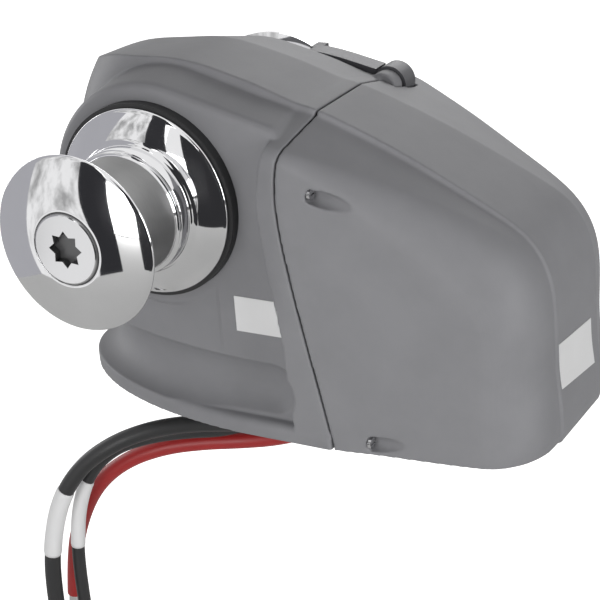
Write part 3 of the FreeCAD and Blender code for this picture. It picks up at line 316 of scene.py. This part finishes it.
def arc_points(start, end, bulge, count):
    """Points on a shallow curve from start to end that stands off its chord by bulge."""
    (r0, y0), (r1, y1) = start, end
    across = math.hypot(r1 - r0, y1 - y0)
    normal = ((y1 - y0) / across, -(r1 - r0) / across)
    points = []
    for step in range(count + 1):
        t = step / count
        lift = 4 * bulge * t * (1 - t)
        points.append((r0 + (r1 - r0) * t + normal[0] * lift, y0 + (y1 - y0) * t + normal[1] * lift))
    return points


def ribbed(radius, y0, y1, pitch, depth):
    """Zigzag of about that pitch from y0 to y1, which makes the fine ribs of the barrel."""
    points = []
    count = int(abs(y1 - y0) / pitch)
    for step in range(count):
        y = y0 + (y1 - y0) * step / count
        points += [(radius - depth, y), (radius, y + (y1 - y0) / count / 2)]
    return points + [(radius - depth, y1)]


FLANGE_BACK = -105.4
BARREL_ENDS = (-176.0, -134.0)
BARREL_RADIUS = 44.5
RIB_PITCH, RIB_DEPTH = 0.9, 0.28
DRUM_STEPS = 160
drum_outline = [(31, FLANGE_BACK), (71.2, FLANGE_BACK), (71.9, -106.2), (71.9, -107.4), (71.2, -108.2)]
drum_outline += arc_points((70.4, -108.4), (51.4, -118.0), -0.8, 14)
drum_outline += [(50.2, -119.4), (49.4, -120.4), (48.6, -120.8), (48.4, -121.6), (48.4, -130.6),
                 (47.9, -131.4), (47.0, -131.7), (45.6, -131.9), (45.0, -132.8)]
drum_outline += ribbed(BARREL_RADIUS, BARREL_ENDS[1], BARREL_ENDS[0], RIB_PITCH, RIB_DEPTH)
drum_outline += arc_points((44.6, -177.5), (62.5, -191.6), -2.4, 14)
drum_outline += [(64.6, -192.6), (65.4, -193.2), (65.7, -194.0), (65.4, -194.8), (64.7, -195.4)]
drum_outline += arc_points((64.2, -195.7), (27.6, -205.0), -1.5, 24)
drum_outline += [(27.2, -204.8), (27.1, -198.0), (10, -198.0)]
drum = turned_piece("drum_skin", drum_outline, DRUM_STEPS, CHROME, "shaft")
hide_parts("warping_drum")
drum.data.materials.append(BARREL)
for polygon in drum.data.polygons:
    if BARREL_ENDS[0] < polygon.center.y / MM < BARREL_ENDS[1]:
        polygon.material_index = 1


# Leads, each with its width and route in millimetres and its length in metres

POWER_WIDTH, CONTROL_WIDTH = 14.0, 11.0
TERMINAL_X, TERMINAL_Z = 100, 57
LEADS = [
    ("lead_black_main", POWER_WIDTH, SHEATH_BLACK, "lead_black", 0.515, [
        (TERMINAL_X, -40, TERMINAL_Z), (64, -40, 22), (30, -36, -3), (0, -34, -17), (-30, -32, -27),
        (-60, -34, -33), (-91, -43, -35), (-116, -60, -32), (-142, -77, -34), (-169, -93, -44),
        (-197, -103, -66), (-218, -109, -98), (-231, -111, -140), (-237, -111, -183), (-236, -111, -225)]),
    ("lead_black_control", CONTROL_WIDTH, SHEATH_BLACK, "lead_black", 0.503, [
        (TERMINAL_X, -2, TERMINAL_Z), (64, -2, 22), (30, -1, -3), (0, -2, -16), (-32, -6, -28),
        (-64, -16, -38), (-98, -33, -48), (-123, -51, -45), (-151, -65, -48), (-178, -77, -57),
        (-201, -85, -79), (-213, -91, -110), (-219, -93, -147), (-221, -93, -186), (-220, -93, -224)]),
    ("lead_red", POWER_WIDTH, SHEATH_RED, "lead_red", 0.495, [
        (TERMINAL_X, -21, TERMINAL_Z), (64, -21, 22), (30, -19, -5), (0, -17, -25), (-29, -16, -43),
        (-59, -17, -55), (-90, -22, -61), (-120, -34, -62), (-151, -47, -66), (-183, -58, -79),
        (-212, -64, -104), (-233, -65, -140), (-248, -64, -181), (-255, -62, -225)])]


def lead_curve(name, diameter, material, points):
    curve = bpy.data.curves.new(name + "_sheath", "CURVE")
    curve.dimensions = "3D"
    curve.bevel_depth = diameter / 2 * MM
    curve.bevel_resolution = 6
    curve.resolution_u = 16
    curve.use_fill_caps = True
    spline = curve.splines.new("NURBS")
    spline.points.add(len(points) - 1)
    for point, place in zip(spline.points, points):
        point.co = (*[c * MM for c in place], 1.0)
    spline.order_u = 3
    spline.use_endpoint_u = True
    curve.materials.append(material)
    piece = bpy.data.objects.new(name + "_sheath", curve)
    bpy.context.collection.objects.link(piece)
    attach(piece, "root")
    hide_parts(name)
    return piece


def line_points(curve_object):
    """Points along the lead's own spline."""
    bare = curve_object.data.copy()
    bare.bevel_depth = 0
    holder = bpy.data.objects.new("line", bare)
    bpy.context.collection.objects.link(holder)
    graph = bpy.context.evaluated_depsgraph_get()
    mesh = bpy.data.meshes.new_from_object(holder.evaluated_get(graph))
    points = [vertex.co.copy() for vertex in mesh.vertices]
    bpy.data.objects.remove(holder)
    return points


lead_lines = {}
for lead_name, lead_width, lead_material, lead_slot, lead_length, lead_points in LEADS:
    lead_piece = lead_curve(lead_name, lead_width, lead_material, lead_points)
    lead_lines[lead_name] = line_points(lead_piece)


# Blank sleeves round the leads, between two heights

SLEEVE_TOP, SLEEVE_FOOT = -0.088, -0.152
SLEEVE_GAP = 0.0007
SLEEVE_SIDES = 28
END_SHARE = 0.93


def sleeve(name, points, radius, material, body):
    """Closed tube round a run of points, a little narrower at its ends."""
    build = bmesh.new()
    rings = []
    for index, point in enumerate(points):
        ahead = points[min(index + 1, len(points) - 1)]
        behind = points[max(index - 1, 0)]
        along = (ahead - behind).normalized()
        side = along.cross(Vector((0, 1, 0))).normalized()
        other = along.cross(side)
        reach = radius * (END_SHARE if index in (0, len(points) - 1) else 1.0)
        ring = []
        for step in range(SLEEVE_SIDES):
            angle = 2 * math.pi * step / SLEEVE_SIDES
            ring.append(build.verts.new(point + (side * math.cos(angle) + other * math.sin(angle)) * reach))
        rings.append(ring)
    for lower, upper in zip(rings, rings[1:]):
        bridge(build, lower, upper)
    build.faces.new(list(reversed(rings[0])))
    build.faces.new(rings[-1])
    mesh = write_mesh(build, name)
    smooth(mesh)
    return add_object(name, mesh, material, body)


for lead_name, lead_width in (("lead_black_main", POWER_WIDTH), ("lead_black_control", CONTROL_WIDTH)):
    run = [point for point in lead_lines[lead_name] if SLEEVE_FOOT < point.z < SLEEVE_TOP]
    sleeve(lead_name.replace("lead", "sleeve"), run, lead_width / 2 * MM + SLEEVE_GAP, FILM, "root")


# Blank plates, in the places of the printed ones

PLATE_PROUD = 0.0004
PLATE_SUNK = 0.0006
PLATE_STEPS = 12
PLATE_RUN_UP = 0.1


def plate(name, node_name, toward, corners, material):
    """Thin blank plate laid on a node's surface along the axis 'toward'; corners are places seen that way."""
    source = NODES[node_name].data
    tree = BVHTree.FromPolygons([vertex.co for vertex in source.vertices],
                                [polygon.vertices for polygon in source.polygons])
    toward = Vector(toward)
    low_start, low_end, high_start, high_end = (Vector(corner) for corner in corners)
    build = bmesh.new()
    fronts, backs = [], []
    for row in range(PLATE_STEPS + 1):
        v = row / PLATE_STEPS
        for column in range(PLATE_STEPS + 1):
            u = column / PLATE_STEPS
            place = low_start.lerp(low_end, u).lerp(high_start.lerp(high_end, u), v)
            seat, _, _, _ = tree.ray_cast(place - toward * PLATE_RUN_UP, toward)
            fronts.append(build.verts.new(seat - toward * PLATE_PROUD))
            backs.append(build.verts.new(seat + toward * PLATE_SUNK))
    wide = PLATE_STEPS + 1
    for row in range(PLATE_STEPS):
        for column in range(PLATE_STEPS):
            quad = [row * wide + column, row * wide + column + 1, (row + 1) * wide + column + 1,
                    (row + 1) * wide + column]
            build.faces.new([fronts[index] for index in quad])
            build.faces.new([backs[index] for index in reversed(quad)])
    rim = list(range(wide)) + [row * wide + PLATE_STEPS for row in range(1, wide)]
    rim += [PLATE_STEPS * wide + column for column in range(PLATE_STEPS - 1, -1, -1)]
    rim += [row * wide for row in range(PLATE_STEPS - 1, 0, -1)]
    for here, ahead in zip(rim, rim[1:] + rim[:1]):
        build.faces.new((fronts[here], backs[here], backs[ahead], fronts[ahead]))
    return add_object(name, write_mesh(build, name), material, "root")


FACE_Y, BACK_X = -0.097, 0.1975
plate("data_plate", "gear_housing", (0, 1, 0), [
    (-0.0357, FACE_Y, 0.0796), (0.009, FACE_Y, 0.0796),
    (-0.0357, FACE_Y, 0.1078), (0.009, FACE_Y, 0.1078)], FILM)
plate("back_plate", "motor_cover", (-1, 0, 0), [
    (BACK_X, -0.0371, 0.0435), (BACK_X, 0.0256, 0.0368),
    (BACK_X, -0.0366, 0.0783), (BACK_X, 0.0264, 0.0727)], FILM)


# Camera, at the photograph's viewpoint

AZIMUTH, ELEVATION, ROLL = (math.radians(value) for value in (30.8, 23.28, -4.54))
EYE = Vector((0.63499, -1.12727, 0.62858))
FOCAL_PIXELS = 1800.0
IMAGE_PIXELS = 600.0
SENSOR = 36.0

back = Vector((math.sin(AZIMUTH) * math.cos(ELEVATION), -math.cos(AZIMUTH) * math.cos(ELEVATION),
               math.sin(ELEVATION)))
level = Vector((math.cos(AZIMUTH), math.sin(AZIMUTH), 0))
upright = back.cross(level)
right = math.cos(ROLL) * level + math.sin(ROLL) * upright
up = -math.sin(ROLL) * level + math.cos(ROLL) * upright
camera_data = bpy.data.cameras.new("camera")
camera_data.sensor_width = SENSOR
camera_data.lens = SENSOR * FOCAL_PIXELS / IMAGE_PIXELS
camera = bpy.data.objects.new("camera", camera_data)
bpy.context.collection.objects.link(camera)
camera.matrix_world = Matrix((
    (right.x, up.x, back.x, EYE.x),
    (right.y, up.y, back.y, EYE.y),
    (right.z, up.z, back.z, EYE.z),
    (0, 0, 0, 1)))
bpy.context.scene.camera = camera
bpy.context.scene.view_settings.view_transform = "Standard"


# Floor, light and background

FLOOR_REACH = 4
FLOOR_GAP = 0.004
FLOOR_GLOW = 0.93
floor_z = min(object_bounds()[0][2], cad_box[0][2]) - FLOOR_GAP
floor_mesh = bpy.data.meshes.new("floor")
floor_corners = [(-FLOOR_REACH, -FLOOR_REACH, floor_z), (FLOOR_REACH, -FLOOR_REACH, floor_z),
                 (FLOOR_REACH, FLOOR_REACH, floor_z), (-FLOOR_REACH, FLOOR_REACH, floor_z)]
floor_mesh.from_pydata(floor_corners, [], [(0, 1, 2, 3)])
floor = bpy.data.objects.new("floor", floor_mesh)
bpy.context.collection.objects.link(floor)
floor_material, floor_tree, floor_shader = new_material("floor")
set_shader(floor_shader, Base_Color=(0.8, 0.8, 0.79, 1), Roughness=0.9, Specular_IOR_Level=0.0)
floor_paths = floor_tree.nodes.new("ShaderNodeLightPath")
bright = floor_tree.nodes.new("ShaderNodeEmission")
bright.inputs["Color"].default_value = (1, 1, 1, 1)
bright.inputs["Strength"].default_value = FLOOR_GLOW
both = floor_tree.nodes.new("ShaderNodeAddShader")
seen = floor_tree.nodes.new("ShaderNodeMixShader")
floor_tree.links.new(floor_shader.outputs[0], both.inputs[0])
floor_tree.links.new(bright.outputs[0], both.inputs[1])
floor_tree.links.new(floor_paths.outputs["Is Camera Ray"], seen.inputs["Fac"])
floor_tree.links.new(floor_shader.outputs[0], seen.inputs[1])
floor_tree.links.new(both.outputs[0], seen.inputs[2])
floor_tree.links.new(seen.outputs[0], floor_tree.nodes["Material Output"].inputs["Surface"])
floor_mesh.materials.append(floor_material)

AMBIENT = 0.12
world = bpy.data.worlds.new("studio")
bpy.context.scene.world = world
world.use_nodes = True
sky = world.node_tree
ambient = sky.nodes["Background"]
ambient.inputs["Color"].default_value = (1, 1, 1, 1)
ambient.inputs["Strength"].default_value = AMBIENT
clear = sky.nodes.new("ShaderNodeBackground")
clear.inputs["Color"].default_value = (1, 1, 1, 1)
clear.inputs["Strength"].default_value = 1.0
paths = sky.nodes.new("ShaderNodeLightPath")
either = sky.nodes.new("ShaderNodeMath")
either.operation = "MAXIMUM"
blend = sky.nodes.new("ShaderNodeMixShader")
sky.links.new(paths.outputs["Is Camera Ray"], either.inputs[0])
sky.links.new(paths.outputs["Is Glossy Ray"], either.inputs[1])
sky.links.new(either.outputs[0], blend.inputs["Fac"])
sky.links.new(ambient.outputs[0], blend.inputs[1])
sky.links.new(clear.outputs[0], blend.inputs[2])
sky.links.new(blend.outputs[0], sky.nodes["World Output"].inputs["Surface"])


def softbox(name, place, target, width, height, power):
    data = bpy.data.lights.new(name, "AREA")
    data.shape = "RECTANGLE"
    data.size = width
    data.size_y = height
    data.energy = power
    lamp = bpy.data.objects.new(name, data)
    lamp.location = place
    lamp.rotation_euler = (Vector(target) - Vector(place)).to_track_quat("-Z", "Y").to_euler()
    bpy.context.collection.objects.link(lamp)
    return lamp


CENTRE = (-0.05, 0, 0.12)
REAR_POWER, FRONT_POWER, LEFT_POWER, HIGH_POWER, SIDE_POWER = 15, 21, 12, 6, 21
softbox("rear_light", (-0.3, 2.0, 1.15), CENTRE, 1.6, 0.8, REAR_POWER)
softbox("front_light", (0.1, -2.2, 0.25), CENTRE, 1.4, 1.0, FRONT_POWER)
softbox("left_light", (-2.2, 0.1, 0.5), CENTRE, 1.0, 1.2, LEFT_POWER)
softbox("high_light", (-0.8, -1.6, 1.4), CENTRE, 1.2, 1.2, HIGH_POWER)
softbox("side_light", (2.0, -0.5, 0.5), CENTRE, 1.0, 1.2, SIDE_POWER)


def plain_card(color):
    """Card of one tone, as bright as its colour."""
    material, _, shader = new_material("card")
    set_shader(shader, Base_Color=(0, 0, 0, 1), Roughness=1.0, Specular_IOR_Level=0.0,
               Emission_Color=(*color, 1), Emission_Strength=1.0)
    return material


def cloth_card(low, high):
    """Card of creased white cloth."""
    material, tree, shader = new_material("cloth_card")
    set_shader(shader, Base_Color=(0, 0, 0, 1), Roughness=1.0, Specular_IOR_Level=0.0, Emission_Strength=1.0)
    folds = noise(tree, coords(tree, (6, 6, 2.2)), 1.6, 8.0, 0.62)
    tree.links.new(ramp(tree, folds, 0.36, 0.55, low, high), shader.inputs["Emission Color"])
    return material


def card(name, corners, material):
    """Card that only shows in reflections."""
    mesh = bpy.data.meshes.new(name)
    mesh.from_pydata(corners, [], [(0, 1, 2, 3)])
    mesh.materials.append(material)
    sheet = bpy.data.objects.new(name, mesh)
    bpy.context.collection.objects.link(sheet)
    sheet.visible_camera = False
    sheet.visible_diffuse = False
    sheet.visible_shadow = False


DRUM_FACE = Vector((SHAFT_X, -0.2, SHAFT_Z))
CARD_AWAY = 0.8
CARD_FOOT, CARD_HEAD = -31, 62


def standing_card(name, start, end, low, high, material):
    """Upright card between two bearings and two rises in degrees, seen from the drum's face.

    A bearing is counted from -Y towards -X, a rise from the level of the shaft.
    """
    places = []
    for bearing, rise in ((start, low), (end, low), (end, high), (start, high)):
        turn = math.radians(bearing)
        places.append(DRUM_FACE + Vector((-math.sin(turn) * CARD_AWAY, -math.cos(turn) * CARD_AWAY,
                                          math.tan(math.radians(rise)) * CARD_AWAY)))
    card(name, places, material)


standing_card("dark_strip", 8, 26, CARD_FOOT, CARD_HEAD, plain_card((0.034, 0.034, 0.038)))
standing_card("dark_side", -66, -9, CARD_FOOT, 42, plain_card((0.034, 0.034, 0.037)))
standing_card("cloth_side", 26, 56, CARD_FOOT, CARD_HEAD, cloth_card((0.42, 0.42, 0.42), (1.0, 1.0, 1.0)))
standing_card("grey_side", 56, 106, CARD_FOOT, CARD_HEAD, plain_card((0.46, 0.46, 0.49)))
